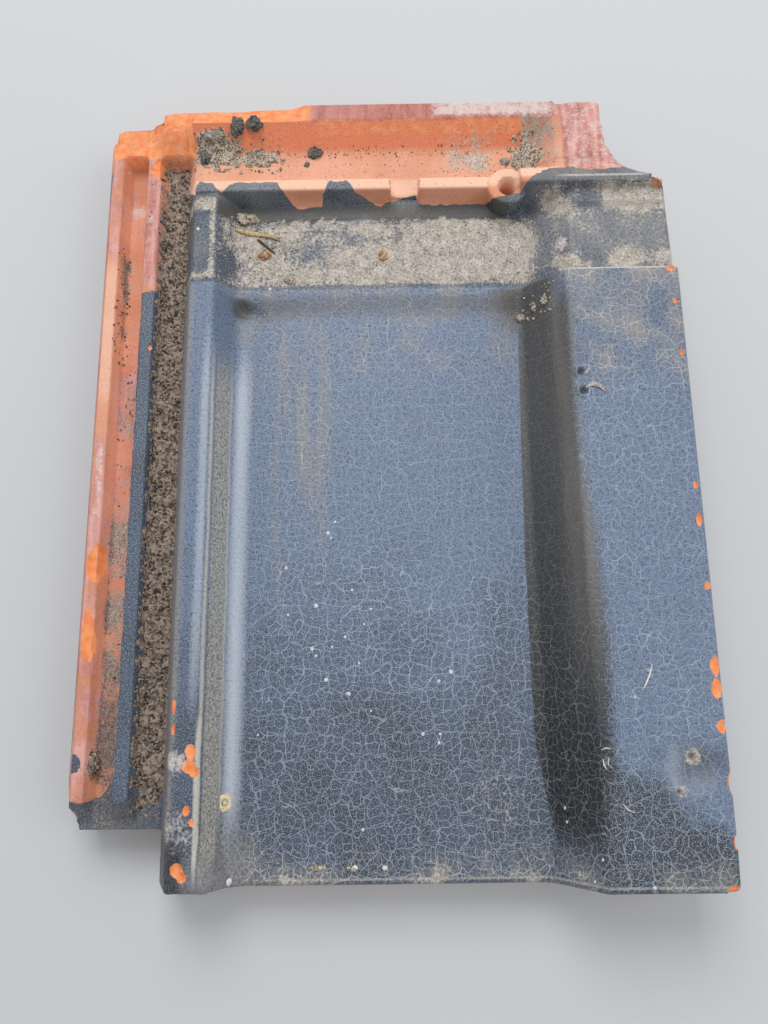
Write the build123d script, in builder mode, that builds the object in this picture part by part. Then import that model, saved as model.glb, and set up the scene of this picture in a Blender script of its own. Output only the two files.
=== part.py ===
from build123d import *
import math
import os

# Interlocking clay roof tile, pressed and fired as one piece.
# X runs across the tile, with the cover roll at +X and the side interlock at -X.
# Y runs from the nose, which hangs over the tile below, up to the head. Z is up.
# The origin is on the ground under the middle of the tile. All sizes are in millimetres.

# Overall size
tile_width = 265.0
tile_length = 350.0

# Clay thickness, and the depth of the lip and nibs that the tile lies on
pan_wall = 12.0
flange_wall = 10.0
foot_depth = 12.0

# Widths across the body, from the side interlock to the cover roll
flange_width = 40.0
rib_outer_slope = 6.0
rib_top_width = 11.0
rib_inner_slope = 9.0
roll_top_width = 49.5
roll_flank = 17.5

# Heights above the crown of the pan, in the exposed zone
rib_rise = 12.0
rib_tilt = 1.0
roll_rise = 20.0
roll_tilt = 0.5
valley_drop = 3.0
valley_floor = 8.0

# The lap zone, which the tile above covers
lap_length = 92.0
shoulder_length = 12.0
lap_crown_rise = 1.5
lap_valley_drop = 1.0
lap_rib_rise = 9.5
lap_roll_rise = 14.5
lap_roll_fall = 2.0
lap_flank_shift = 4.5
step_length = 2.5

# The nose, where the valleys run out and the edge is rounded
nose_run_out = 15.0
nose_valley_drop = 0.5
nose_fall = 1.0
nose_flare = 4.0
nose_round = 3.0
lip_width = 9.0
lip_slope = 4.0

# Side interlock
flange_drop = 5.0
flange_set_back = 21.8
flange_corner_width = 6.0
flange_corner_length = 20.0
flange_head_corner = 8.0
flange_rib_height = 8.0
flange_edge_height = 8.0
flange_rib_set_back = 4.0
flange_rib_run_out = 9.0
outer_rib_slope = 4.7
outer_rib_width = 5.0
outer_channel_width = 8.0
inner_rib_width = 6.0
rib_draft = 2.0

# Head interlock
bar_set_back = 44.8
bar_inset = 6.5
bar_width = 5.5
bar_height = 8.5
bar_slope = 3.0
bar_gap_start = 98.0
bar_gap_width = 13.0
trough_rise = 3.0
trough_end_slope = 13.0
rim_width = 9.0
rim_slope = 10.5
rim_height = 9.0
side_rim_width = 28.5
side_rim_height = 9.0
side_rim_slope = 6.0
side_rim_inset = 5.0
head_roll_rise = 12.0
ridge_rise = 4.5
ridge_advance = 2.0
ridge_width = 3.0
ridge_rear_slope = 8.0

# Nail hole in its boss
nail_radius = 3.0
sink_radius = 5.0
sink_angle = 56.0
boss_radius = 9.3
boss_draft = 1.0
boss_rise = 1.0
boss_inset = 72.3

# Corner cut at the head, beside the cover roll
notch_width = 26.3
notch_straight = 14.0
notch_radius = 32.0
notch_turn = 58.0

# Underside of the cover roll, which takes the next tile's side interlock
play = 1.5
roll_wall = 11.0
lap_roll_wall = 9.0

# Under the pan: lock rib, groove under the left rib, and nibs that hang on the batten
lock_rib_width = 7.0
lock_rib_draft = 2.0
groove_depth = 7.0
groove_slope = 4.0
nib_width = 24.0
nib_length = 14.0
nib_draft = 3.0
nib_spacing = 100.0
nib_set_back = 25.0

# Rounding of the pressed clay
soft_edge = 2.5
small_edge = 1.2
valley_round = 5.0

# Lines across the tile
left = -tile_width / 2
right = tile_width / 2
body_left = left + flange_width
rib_left = body_left + rib_outer_slope
rib_right = rib_left + rib_top_width
pan_left = rib_right + rib_inner_slope
roll_left = right - roll_top_width
pan_right = roll_left - roll_flank
pan_middle = (pan_left + pan_right) / 2
outer_rib_left = left + outer_rib_slope
outer_rib_right = outer_rib_left + outer_rib_width
outer_channel_left = outer_rib_right + rib_draft
outer_channel_right = outer_channel_left + outer_channel_width
inner_rib_left = outer_channel_right + rib_draft
inner_rib_right = inner_rib_left + inner_rib_width
inner_channel_left = inner_rib_right + rib_draft
trough_left = body_left + 2 * rib_draft
trough_right = roll_left - trough_end_slope
bar_left = body_left + bar_inset
boss_x = right - boss_inset

# Lines along the tile
nose = -tile_length / 2
head = tile_length / 2
step_line = head - lap_length
bar_line = head - bar_set_back
bar_foot = bar_line - bar_slope
bar_back = bar_line + bar_width
trough_start = bar_back + bar_slope
rim_line = head - rim_width
rim_foot = rim_line - rim_slope
side_rim_foot = rim_line - side_rim_slope
side_rim_back = head - side_rim_inset
ridge_line = bar_line - ridge_advance
ridge_back = ridge_line + ridge_width
ridge_foot = ridge_back + ridge_rear_slope
boss_y = bar_line
boss_front = boss_y - boss_radius - boss_draft - soft_edge
flange_end = nose + flange_set_back
rib_start = flange_end + flange_rib_set_back

# Levels
pan_base = foot_depth
crown = pan_base + pan_wall
lap_crown = crown + lap_crown_rise
lap_valley = lap_crown - lap_valley_drop
lap_roll_top = crown + lap_roll_rise
flange_floor = crown - flange_drop
flange_base = flange_floor - flange_wall
flange_top = flange_floor + flange_rib_height
bar_top = lap_crown + bar_height
boss_top = bar_top + boss_rise
trough_floor = crown + trough_rise
rim_top = trough_floor + rim_height
side_rim_top = flange_floor + side_rim_height
head_roll_top = crown + head_roll_rise
ridge_top = lap_roll_top - lap_roll_fall + ridge_rise

# The next tile's side interlock lies this far along X, under the roll
cover_width = right - body_left + play
cavity_left = left + cover_width - play
hollow_left = pan_right + pan_wall
cover_rib_left = outer_channel_left + cover_width + play
cover_rib_right = outer_channel_right + cover_width - play
cover_lip_left = inner_channel_left + cover_width + play
cover_rib_base = flange_floor + play

# The tile above lies this far up the slope, on the lap zone
gauge = step_line - nose
lock_rib_y = (trough_start + rim_foot) / 2 - gauge
lock_rib_base = trough_floor + play - lap_crown


def body_section(y, levels, rounding_in=0.0, rounding_down=0.0):
    """Rib, pan and roll in one cross-section of the tile, at y."""
    rib_z, valley_z, crown_z, roll_z, flare, shift = levels
    wall_left = body_left + rounding_in
    wall_right = right - rounding_in
    valley_left = (pan_left + flare, valley_z - rounding_down)
    valley_right = (pan_right + shift, valley_z - rounding_down)
    pan_start = (pan_left + flare + valley_floor, valley_z - rounding_down)
    pan_end = (pan_right + shift - valley_floor, valley_z - rounding_down)
    rib_low = (rib_left, rib_z - rib_tilt - rounding_down)
    rib_high = (rib_right + flare, rib_z - rounding_down)
    roll_low = (roll_left + shift, roll_z - roll_tilt - rounding_down)
    roll_high = (wall_right, roll_z - rounding_down)
    with BuildSketch(Plane.XZ.offset(-y)) as section:
        with BuildLine():
            Polyline(
                (wall_left, pan_base),
                (wall_left, flange_floor),
                rib_low,
                rib_high,
                valley_left,
                pan_start,
            )
            ThreePointArc(pan_start, (pan_middle, crown_z - rounding_down), pan_end)
            Polyline(
                pan_end,
                valley_right,
                roll_low,
                roll_high,
                (wall_right, pan_base),
                (wall_left, pan_base),
            )
        make_face()
        for corner in [rib_low, rib_high, roll_high]:
            fillet(section.vertices().sort_by_distance(corner)[0], soft_edge)
        for corner in [valley_left, valley_right, roll_low]:
            fillet(section.vertices().sort_by_distance(corner)[0], valley_round)
    return section.sketch


def eased(start, end, part):
    """Levels part of the way from start to end, with a gentle beginning and end."""
    share = part * part * (3 - 2 * part)
    return [a + (b - a) * share for a, b in zip(start, end)]


def outline(plane, *points, soft=()):
    """Closed sketch with straight sides, rounded at its soft corners."""
    with BuildSketch(plane) as sketch:
        with BuildLine():
            Polyline(*points, close=True)
        make_face()
        for corner in soft:
            fillet(sketch.vertices().sort_by_distance(corner)[0], small_edge)
    return sketch.sketch


def roll_hollow(y, ceiling):
    """Hollow under the roll with its cover rib, in one cross-section at y."""
    return outline(
        Plane.XZ.offset(-y),
        (hollow_left, pan_base - 1),
        (cavity_left, ceiling),
        (cover_rib_left - play, ceiling),
        (cover_rib_left, cover_rib_base),
        (cover_rib_right, cover_rib_base),
        (cover_rib_right + play, ceiling),
        (cover_lip_left - play, ceiling),
        (cover_lip_left, cover_rib_base),
        (right + 1, cover_rib_base),
        (right + 1, pan_base - 1),
    )


# Levels of the left rib, the valleys, the crown and the roll,
# then how far the inner flanks of rib and roll stand to the right
nose_levels = (
    crown + rib_rise - nose_fall,
    crown - nose_fall - nose_valley_drop,
    crown - nose_fall,
    crown + roll_rise - nose_fall,
    nose_flare,
    0.0,
)
exposed_levels = (crown + rib_rise, crown - valley_drop, crown, crown + roll_rise, 0.0, 0.0)
step_levels = (crown + rib_rise, lap_valley, lap_crown, crown + roll_rise, 0.0, 0.0)
lap_levels = (crown + lap_rib_rise, lap_valley, lap_crown, lap_roll_top, 0.0, lap_flank_shift)
bar_levels = (*lap_levels[:3], lap_roll_top - lap_roll_fall, *lap_levels[4:])

sections = []
for turn in (0, 30, 60, 90):
    back = nose_round * (1 - math.cos(math.radians(turn)))
    down = nose_round * (1 - math.sin(math.radians(turn)))
    sections.append(body_section(nose + back, nose_levels, down, down))
for part in (0.5, 1):
    run_out = nose + nose_round + nose_run_out * part
    sections.append(body_section(run_out, eased(nose_levels, exposed_levels, part)))
for part in (0, 0.25, 0.5, 0.75, 1):
    shoulder = step_line - shoulder_length * (1 - part)
    sections.append(body_section(shoulder, eased(exposed_levels, step_levels, part)))
sections.append(body_section(step_line + step_length, lap_levels))
for level_end in (boss_front, bar_line):
    sections.append(body_section(level_end, bar_levels))

with BuildPart() as roof_tile:
    # Body: one cross-section whose levels change at the nose, the step and the lap zone
    for start, end in zip(sections, sections[1:]):
        loft([start, end], ruled=True)

    # Head: floor of the trough, and the end of the roll behind its ridge
    head_section = outline(
        Plane.XZ.offset(-bar_line),
        (body_left, pan_base),
        (body_left, flange_floor),
        (trough_left, trough_floor),
        (trough_right, trough_floor),
        (roll_left, head_roll_top),
        (right, head_roll_top),
        (right, pan_base),
        soft=[(roll_left, head_roll_top), (right, head_roll_top)],
    )
    extrude(head_section, amount=bar_line - head)

    # Side interlock: a plate with two ribs that run out before its lower end
    flange_plan = outline(
        Plane.XY.offset(flange_base),
        (rib_left, flange_end),
        (left, flange_end),
        (left, head - flange_head_corner),
        (left + flange_head_corner, side_rim_back),
        (rib_left, side_rim_back),
    )
    extrude(flange_plan, amount=flange_wall)
    outer_rib = outline(
        Plane.XZ.offset(-rib_start),
        (left, flange_base + 1),
        (left, flange_base + flange_edge_height),
        (outer_rib_left, flange_top),
        (outer_rib_right, flange_top),
        (outer_channel_left, flange_floor),
        (outer_channel_left, flange_base + 1),
        soft=[(outer_rib_left, flange_top), (outer_rib_right, flange_top)],
    )
    extrude(outer_rib, amount=rib_start - (side_rim_foot + rim_line) / 2)
    inner_rib = outline(
        Plane.XZ.offset(-rib_start),
        (outer_channel_right, flange_base + 1),
        (outer_channel_right, flange_floor),
        (inner_rib_left, flange_top),
        (inner_rib_right, flange_top),
        (inner_channel_left, flange_floor),
        (inner_channel_left, flange_base + 1),
        soft=[(inner_rib_left, flange_top), (inner_rib_right, flange_top)],
    )
    extrude(inner_rib, amount=rib_start - (side_rim_foot + rim_line) / 2)
    run_out = outline(
        Plane.YZ.offset(left),
        (rib_start, flange_floor),
        (rib_start, flange_top + 1),
        (rib_start + flange_rib_run_out, flange_top + 1),
    )
    extrude(run_out, amount=inner_channel_left - left, mode=Mode.SUBTRACT)
    corner = outline(
        Plane.XY,
        (left + flange_corner_width, flange_end),
        (left, flange_end + flange_corner_length),
        (left - 1, flange_end + flange_corner_length),
        (left - 1, flange_end - 1),
        (left + flange_corner_width, flange_end - 1),
    )
    extrude(corner, amount=flange_top, mode=Mode.SUBTRACT)

    # Head rim: high behind the trough, lower behind the side interlock
    main_rim = outline(
        Plane.YZ.offset(left + side_rim_width),
        (rim_foot, pan_base),
        (rim_foot, trough_floor),
        (rim_line, rim_top),
        (head, rim_top),
        (head, pan_base),
        soft=[(rim_line, rim_top), (head, rim_top)],
    )
    extrude(main_rim, amount=roll_left - left - side_rim_width)
    side_rim = outline(
        Plane.YZ.offset(left + flange_head_corner),
        (side_rim_foot, flange_base),
        (side_rim_foot, flange_floor),
        (rim_line, side_rim_top),
        (side_rim_back, side_rim_top),
        (side_rim_back, flange_base),
        soft=[(rim_line, side_rim_top), (side_rim_back, side_rim_top)],
    )
    extrude(side_rim, amount=side_rim_width)

    # Bar in front of the trough, open at the drain gap
    bar_length = bar_gap_start - bar_inset
    gap_end = body_left + bar_gap_start + bar_gap_width
    for bar_start, length in ((bar_left, bar_length), (gap_end, boss_x - gap_end)):
        bar = outline(
            Plane.YZ.offset(bar_start),
            (bar_foot, pan_base),
            (bar_foot, lap_valley),
            (bar_line, bar_top),
            (bar_back, bar_top),
            (trough_start, trough_floor),
            (trough_start, pan_base),
            soft=[(bar_line, bar_top), (bar_back, bar_top)],
        )
        extrude(bar, amount=length)

    # Ridge over the roll, a little in front of the bar
    ridge_section = outline(
        Plane.YZ.offset(pan_right),
        (ridge_line - bar_slope, pan_base),
        (ridge_line - bar_slope, lap_valley),
        (ridge_line, ridge_top),
        (ridge_back, ridge_top),
        (ridge_foot, head_roll_top),
        (ridge_foot, pan_base),
        soft=[(ridge_line, ridge_top), (ridge_back, ridge_top)],
    )
    extrude(ridge_section, amount=right - pan_right)

    # Boss with its countersunk nail hole
    boss_half = outline(
        Plane.XZ.offset(-boss_y),
        (boss_x, pan_base),
        (boss_x, boss_top),
        (boss_x + boss_radius, boss_top),
        (boss_x + boss_radius + boss_draft, pan_base),
        soft=[(boss_x + boss_radius, boss_top)],
    )
    revolve(boss_half, axis=Axis((boss_x, boss_y, 0), (0, 0, 1)))
    with Locations((boss_x, boss_y, boss_top)):
        CounterSinkHole(
            radius=nail_radius, counter_sink_radius=sink_radius, counter_sink_angle=sink_angle
        )

    # Corner cut at the head: straight, round, and out to the edge
    with BuildSketch(Plane.XY) as notch:
        with BuildLine():
            notch_left = right - notch_width
            side = Line((notch_left, head + 1), (notch_left, head - notch_straight))
            bend = JernArc(side @ 1, side % 1, radius=notch_radius, arc_size=notch_turn)
            reach = notch_width
            way_out = PolarLine(bend @ 1, length=reach, direction=bend % 1)
            Polyline(way_out @ 1, (right + reach, head + 1), side @ 0)
        make_face()
    extrude(notch.sketch, amount=ridge_top + 1, mode=Mode.SUBTRACT)

    # Hollow under the roll, lower under the lap zone
    roll_ceiling = crown + roll_rise - roll_wall
    lap_ceiling = lap_roll_top - lap_roll_wall
    extrude(roll_hollow(nose - 1, roll_ceiling), amount=nose - 1 - step_line + shoulder_length,
            mode=Mode.SUBTRACT)
    extrude(roll_hollow(nose - 1, lap_ceiling), amount=nose - head - 2, mode=Mode.SUBTRACT)

    # Groove under the left rib
    groove = outline(
        Plane.XZ.offset(-(lock_rib_y + lock_rib_width)),
        (rib_left - groove_slope, pan_base - 1),
        (rib_left, pan_base + groove_depth),
        (rib_right, pan_base + groove_depth),
        (rib_right + groove_slope, pan_base - 1),
    )
    extrude(groove, amount=lock_rib_y + lock_rib_width - bar_line, mode=Mode.SUBTRACT)

    # Lip under the nose, and the lock rib that drops into the next trough
    lip = outline(
        Plane.YZ.offset(pan_left + play),
        (nose, 0),
        (nose, pan_base + 1),
        (nose + lip_width + lip_slope, pan_base + 1),
        (nose + lip_width, 0),
        soft=[(nose, 0), (nose + lip_width, 0)],
    )
    extrude(lip, amount=pan_right - pan_left - 2 * play)
    lock_rib = outline(
        Plane.YZ.offset(rib_right),
        (lock_rib_y - lock_rib_width / 2, lock_rib_base),
        (lock_rib_y - lock_rib_width / 2 - lock_rib_draft, pan_base + 1),
        (lock_rib_y + lock_rib_width / 2 + lock_rib_draft, pan_base + 1),
        (lock_rib_y + lock_rib_width / 2, lock_rib_base),
        soft=[
            (lock_rib_y - lock_rib_width / 2, lock_rib_base),
            (lock_rib_y + lock_rib_width / 2, lock_rib_base),
        ],
    )
    extrude(lock_rib, amount=pan_right - rib_right)

    # Nibs: their straight face hangs on the batten
    nib_y = head - nib_set_back
    for nib_x in (pan_middle - nib_spacing / 2, pan_middle + nib_spacing / 2):
        nib = outline(
            Plane.YZ.offset(nib_x - nib_width / 2),
            (nib_y, 0),
            (nib_y, pan_base + 1),
            (nib_y + nib_length, pan_base + 1),
            (nib_y + nib_length - nib_draft, 0),
            soft=[(nib_y, 0), (nib_y + nib_length - nib_draft, 0)],
        )
        extrude(nib, amount=nib_width)

roof_tile.part.label = "roof_tile"
os.makedirs("parts", exist_ok=True)
export_step(roof_tile.part, "parts/roof_tile.step")
print("roof tile:", round(roof_tile.part.volume / 1000), "cubic centimetres")
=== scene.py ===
# %% [markdown]
# A weathered clay roof tile. One pressed and fired piece carries everything here: a blue-black
# crazed glaze on the part that meets the rain, bare orange clay where its neighbours overlap it,
# and years of soil, dust and small chips. The solid model gives the exact form. This lesson
# adds what a solid model leaves out: broken edges, glaze, dirt and the crumbs that lie on it.

import math
import random

import bmesh
import bpy
import numpy as np
from mathutils import Euler, Matrix, Vector, noise
from mathutils.bvhtree import BVHTree
from mathutils.kdtree import KDTree


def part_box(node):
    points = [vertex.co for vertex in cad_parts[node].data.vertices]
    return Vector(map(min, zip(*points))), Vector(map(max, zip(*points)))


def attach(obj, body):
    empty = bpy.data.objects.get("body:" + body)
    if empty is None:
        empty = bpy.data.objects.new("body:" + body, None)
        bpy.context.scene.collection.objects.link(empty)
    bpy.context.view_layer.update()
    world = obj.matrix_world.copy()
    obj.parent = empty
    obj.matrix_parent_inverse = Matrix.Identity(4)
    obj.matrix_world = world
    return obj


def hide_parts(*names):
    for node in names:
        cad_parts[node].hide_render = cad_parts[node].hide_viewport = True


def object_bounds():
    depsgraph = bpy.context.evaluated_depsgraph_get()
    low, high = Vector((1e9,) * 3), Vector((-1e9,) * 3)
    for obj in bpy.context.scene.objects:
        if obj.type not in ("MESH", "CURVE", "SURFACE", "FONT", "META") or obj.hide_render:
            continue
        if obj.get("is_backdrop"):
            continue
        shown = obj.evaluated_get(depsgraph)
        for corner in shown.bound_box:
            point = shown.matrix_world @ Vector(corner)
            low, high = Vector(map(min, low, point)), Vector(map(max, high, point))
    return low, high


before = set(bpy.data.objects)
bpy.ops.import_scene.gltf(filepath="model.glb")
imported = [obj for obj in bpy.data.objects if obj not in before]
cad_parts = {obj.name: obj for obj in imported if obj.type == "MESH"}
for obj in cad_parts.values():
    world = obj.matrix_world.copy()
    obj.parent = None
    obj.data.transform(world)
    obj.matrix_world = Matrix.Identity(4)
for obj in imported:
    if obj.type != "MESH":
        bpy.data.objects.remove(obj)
cad_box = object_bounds()
scene = bpy.context.scene
tile_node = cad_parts["roof_tile"]
tile_low, tile_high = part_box("roof_tile")
MM = 0.001
weld = 0.002 * MM
print("tile, in mm:", [round(v / MM) for v in tile_high - tile_low])


def add(name, data):
    """A new object in the scene, made from a mesh, a lamp or a camera."""
    made = bpy.data.objects.new(name, data)
    scene.collection.objects.link(made)
    return made


def seat(place, up):
    """The shift and turn that take a thing to a place, with its Z axis pointing along up."""
    return Matrix.Translation(place) @ Vector(up).to_track_quat("Z", "Y").to_matrix().to_4x4()


# %% [markdown]
# The photograph was taken by hand, from above and a little towards the nose. A camera is a place,
# a point that it looks at, and a small roll about its own axis. The lens is written for a sensor
# 24 mm high, so a longer one always means a narrower view.

# %% Camera
photo_width, photo_height = 768, 1024
camera_place = Vector((1.7, -97.5, 360.3)) * MM
camera_aim = Vector((0.4, -23.9, 30)) * MM
camera_roll = math.radians(-1.8)
camera_data = bpy.data.cameras.new("camera")
camera_data.sensor_fit = "VERTICAL"
camera_data.sensor_height = 24
camera_data.lens = 18.43
camera_data.clip_start = 0.01
camera = add("camera", camera_data)
scene.camera = camera
view = (camera_aim - camera_place).to_track_quat("-Z", "Y").to_matrix()
view = view @ Matrix.Rotation(camera_roll, 3, "Z")
camera.matrix_world = Matrix.Translation(camera_place) @ view.to_4x4()
print("camera looks down at", round(math.degrees(view.to_euler().x), 1), "degrees from straight")

# %% [markdown]
# Marks such as chips and lime spots are easiest to place where the picture shows them. A ray from
# the camera through a point of the picture meets the tile somewhere, and that place is what the
# mark needs. The tile's copy is welded first, because the solid's mesh is loose triangles.

# %% Finding a place on the tile
focal = camera_data.lens / camera_data.sensor_height * photo_height
roll_level, rib_level = 43 * MM, 27 * MM
body = bmesh.new()
body.from_mesh(tile_node.data)
bmesh.ops.remove_doubles(body, verts=body.verts, dist=weld)
surface = BVHTree.FromBMesh(body)


def on_tile(u, v):
    """Place and normal on the tile that a point of the picture shows, or of its nearest edge."""
    ray = view @ Vector((u - photo_width / 2, photo_height / 2 - v, -focal))
    place, normal, _, _ = surface.ray_cast(camera_place, ray.normalized())
    if place is None:
        level = roll_level if u > photo_width / 2 else rib_level
        place, normal, _, _ = surface.find_nearest(
            camera_place + ray * ((level - camera_place.z) / ray.z))
    return place, normal


def above(x, y):
    """Place and normal straight below a point high over the tile, given in millimetres."""
    place, normal, _, _ = surface.ray_cast(Vector((x, y, 100)) * MM, Vector((0, 0, -1)))
    return place, normal


print("the nail hole's boss is at", [round(v / MM) for v in on_tile(494, 186)[0]])

# %% [markdown]
# Materials are sums of masks and colours. Written with nodes alone they are hard to read, so one
# small class stands for a node's output: adding or multiplying two of them adds a Math node. A
# second one makes a material and any node in it. Colours go through Mix nodes, because a Math
# node would turn them grey.

# %% Shader sums
def colour(red, green, blue):
    """A colour named as it looks on a screen, from 0 to 255, made linear for the shader."""
    parts = [v / 255 for v in (red, green, blue)]
    return tuple(v / 12.92 if v <= 0.04045 else ((v + 0.055) / 1.055) ** 2.4 for v in parts) + (1,)


class Wire:
    """A node's output, or a number, that takes part in sums."""

    def __init__(self, paint, socket):
        self.paint = paint
        self.socket = socket

    def sum(self, operation, *values):
        return self.paint.node("Math", {"operation": operation}, dict(enumerate(values)))

    def __add__(self, other):
        return self.sum("ADD", self, other)

    def __sub__(self, other):
        return self.sum("SUBTRACT", self, other)

    def __rsub__(self, other):
        return self.sum("SUBTRACT", other, self)

    def __mul__(self, other):
        return self.sum("MULTIPLY", self, other)

    def larger(self, other):
        return self.sum("MAXIMUM", self, other)

    def rise(self, low, high):
        """0 up to low, 1 from high on, straight between."""
        return self.paint.node("MapRange", {}, {0: self, 1: low, 2: high})

    def within(self, low, high, edge):
        """1 between low and high, fading over an edge."""
        return self.rise(low - edge, low + edge) * (1 - self.rise(high - edge, high + edge))

    __radd__ = __add__
    __rmul__ = __mul__


class Paint:
    """A material with one Principled shader, and short ways to make its nodes."""

    def __init__(self, name):
        self.material = bpy.data.materials.new(name)
        self.material.use_nodes = True
        self.tree = self.material.node_tree
        self.shader = self.tree.nodes["Principled BSDF"]
        self.place = self.node("TexCoord", output="Object")

    def node(self, kind, settings=None, values=None, output=0):
        """Add a shader node: its settings first, then the values or wires of its sockets."""
        made = self.tree.nodes.new("ShaderNode" + kind)
        for name, value in (settings or {}).items():
            setattr(made, name, value)
        for socket, value in (values or {}).items():
            self.set(made.inputs[socket], value)
        return Wire(self, made.outputs[output])

    def set(self, socket, value):
        """Give a socket a wire or a plain value. A colour is three numbers from 0 to 255."""
        if isinstance(value, Wire):
            self.tree.links.new(value.socket, socket)
        else:
            socket.default_value = colour(*value) if socket.type == "RGBA" else value

    def mix(self, share, first, second):
        """A colour from first, where share is 0, to second, where it is 1."""
        return self.node("Mix", {"data_type": "RGBA"}, {0: share, 6: first, 7: second}, 2)

    def value(self, name):
        """A value kept on the mesh."""
        return self.node("Attribute", {"attribute_name": name}, output="Fac")

    def pattern(self, kind, size, settings, values, vector, output):
        """A texture of a size in mm: flat if it is given a vector, otherwise in space."""
        side = "noise_dimensions" if kind == "TexNoise" else "voronoi_dimensions"
        settings = {side: "2D" if vector else "3D", **settings}
        values = {"Vector": vector or self.place, "Scale": 1 / (size * MM), **values}
        return self.node(kind, settings, values, output)

    def noise(self, size, detail, vector=None, output=0):
        """Cloudy noise with blobs of a size in mm, about 0.3 to 0.7."""
        return self.pattern("TexNoise", size, {}, {"Detail": detail}, vector, output)

    def cells(self, size, feature, vector, output, randomness=1):
        """Irregular cells of a size in mm."""
        settings, values = {"feature": feature}, {"Randomness": randomness}
        return self.pattern("TexVoronoi", size, settings, values, vector, output)

    def bump(self, height, distance):
        """Relief from a height between 0 and 1, distance in mm."""
        values = {"Height": height, "Distance": distance * MM}
        self.set(self.shader.inputs["Normal"], self.node("Bump", {}, values, "Normal"))

    def finish(self, shade, roughness):
        """Give the shader its colour and roughness."""
        self.set(self.shader.inputs["Base Color"], shade)
        self.set(self.shader.inputs["Roughness"], roughness)
        return self.material


print("shader sums are ready")

# %% [markdown]
# A studio floor shows the form without adding colour. It has to be pale and matt. The light is a
# bright dome with two wide lamps: a strong one from the head of the tile, which draws the bar's
# shadow down the slope, and a weak one from the right that finds the flanks.

# %% Floor and light
floor_mesh = bpy.data.meshes.new("floor")
floor_shape = bmesh.new()
bmesh.ops.create_grid(floor_shape, x_segments=1, y_segments=1, size=2)
floor_shape.to_mesh(floor_mesh)
floor_mesh.materials.append(Paint("pale_floor").finish((205, 207, 208), 0.8))
floor = add("floor", floor_mesh)
floor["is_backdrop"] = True

dome = bpy.data.worlds.new("dome")
scene.world = dome
dome.use_nodes = True
sky = dome.node_tree.nodes["Background"]
sky.inputs["Color"].default_value = (0.93, 0.96, 1, 1)
sky.inputs["Strength"].default_value = 0.56


def lamp(name, place, size, power):
    """A square lamp that faces the middle of the tile. Place and size are in metres."""
    data = bpy.data.lights.new(name, "AREA")
    data.size = size
    data.energy = power
    add(name, data).matrix_world = seat(place, place)
    print(name, "lamp:", power, "W")


lamp("key", (-0.15, 1, 1.3), 0.9, 14)
lamp("side", (1.1, -0.1, 1), 0.9, 4)

# %% [markdown]
# The tile itself. A real tile is pressed in a mould and has no perfectly straight line in it, so
# the welded copy is cut by planes into cells small enough to be worn, pressed and broken. Planes
# keep the form exactly as it is, which a remesh wouldn't. Only faces that look up are cut: the
# underside stays as coarse as it can be. Faces that a plane has passed are left out of the next
# cuts, and that is what keeps this quick.

# %% Cutting the mesh finer
steepest = -0.3  # a face or point whose normal looks further down belongs to the underside


def upper_faces(mesh):
    """The faces that look up or to a side."""
    return [face for face in mesh.faces if face.normal.z > steepest]


def cut_finer(mesh, faces, axis, places):
    """Cut faces by planes across one axis, at rising places along it."""
    across = Vector([float(i == axis) for i in range(3)])
    ahead = list(faces)
    for place in places:
        ahead = [face for face in ahead if max(v.co[axis] for v in face.verts) > place]
        crossed = [face for face in ahead if min(v.co[axis] for v in face.verts) < place]
        edges = {edge for face in crossed for edge in face.edges}
        corners = {corner for face in crossed for corner in face.verts}
        made = bmesh.ops.bisect_plane(
            mesh, geom=[*corners, *edges, *crossed], dist=weld / 2,
            plane_co=across * place, plane_no=across)
        pieces = [part for part in made["geom"] if isinstance(part, bmesh.types.BMFace)]
        ahead = list(set(ahead) | set(pieces))


def quarter(mesh, faces):
    """Cut each face into four."""
    edges = {edge for face in faces for edge in face.edges}
    bmesh.ops.subdivide_edges(mesh, edges=list(edges), cuts=1, use_grid_fill=True)
    mesh.normal_update()


def tree_of(places):
    """A tree that finds which of some places are near a point."""
    tree = KDTree(len(places))
    for i, place in enumerate(places):
        tree.insert(place, i)
    tree.balance()
    return tree


def refine(mesh, marks, rounds):
    """Cut the upper faces near each mark, a place and its reach, into four, once a round."""
    for _ in range(rounds):
        faces = upper_faces(mesh)
        centres = tree_of([face.calc_center_median() for face in faces])
        close = {i for place, reach in marks for _, i, _ in centres.find_range(place, reach)}
        quarter(mesh, [faces[i] for i in close])


cell = 2 * MM
bmesh.ops.dissolve_limit(
    body, angle_limit=math.radians(0.4), verts=body.verts[:], edges=body.edges[:])
for axis in (0, 1):
    count = round((tile_high[axis] - tile_low[axis]) / cell)
    planes = np.linspace(tile_low[axis], tile_high[axis], count)[1:-1]
    cut_finer(body, upper_faces(body), axis, planes.tolist())
print("tile cells:", len(body.faces), "open edges:", sum(not e.is_manifold for e in body.edges))

# %% [markdown]
# Glaze flows and rounds every edge that it covers. Two rounds of smoothing on the upper side do
# the same. The bottom edges stay where they are, so that the tile still rests on its lip. The
# roll's top is worn down by half a millimetre, which leaves room for the dirt and chips on it.

# %% Softening the edges
lip_height, worn_band, worn_depth = 4 * MM, 2 * MM, 0.5 * MM


def soften(points, factor):
    """Move points towards the middle of their neighbours."""
    bmesh.ops.smooth_vert(
        body, verts=points, factor=factor, use_axis_x=True, use_axis_y=True, use_axis_z=True)


body.normal_update()
upper = [v for v in body.verts if v.normal.z > -0.2 and v.co.z > lip_height]
for _ in range(2):
    soften(upper, 0.4)
for point in upper:
    share = max(0, min(1, (point.co.z - tile_high.z + worn_band) / worn_band))
    point.co.z -= worn_depth * share * share
body.normal_update()
print("softened points:", len(upper))

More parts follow.
